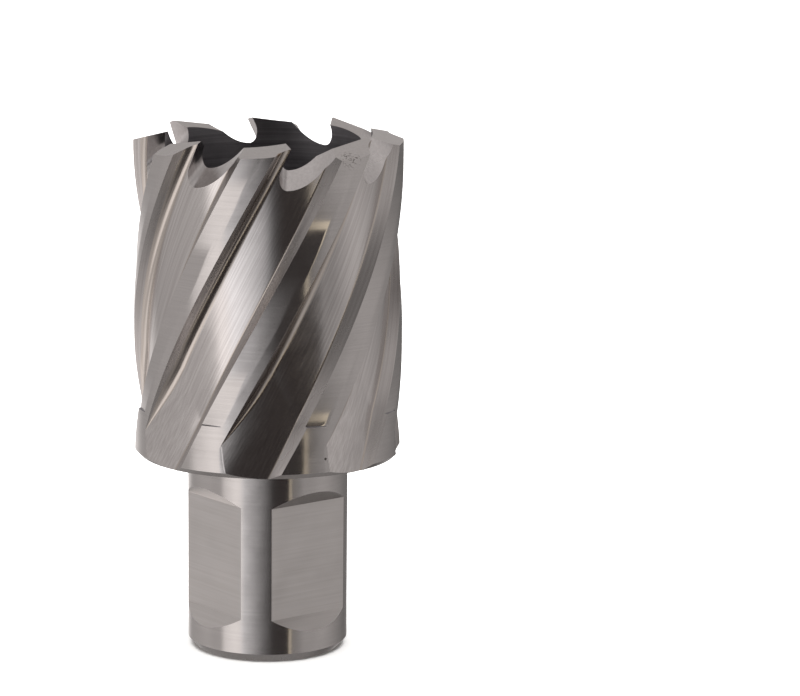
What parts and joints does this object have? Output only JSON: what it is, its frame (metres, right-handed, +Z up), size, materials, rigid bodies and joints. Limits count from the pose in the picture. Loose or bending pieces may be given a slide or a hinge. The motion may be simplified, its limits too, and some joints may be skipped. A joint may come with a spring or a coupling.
{
  "type": "annular cutter",
  "caption": "Hollow steel cutter with helical flutes, a ring of ground teeth and a straight shank with two clamping flats.",
  "frame": {"origin": "centre of the shank end face, where the tool stands", "axes": "+Z up the tool's axis towards the teeth, front of the picture along -Y"},
  "size_m": [0.0318, 0.0318, 0.0621],
  "materials": {
    "steel": "satin"
  },
  "bodies": {
    "root": {"cutter": "steel"}
  },
  "joints": []
}
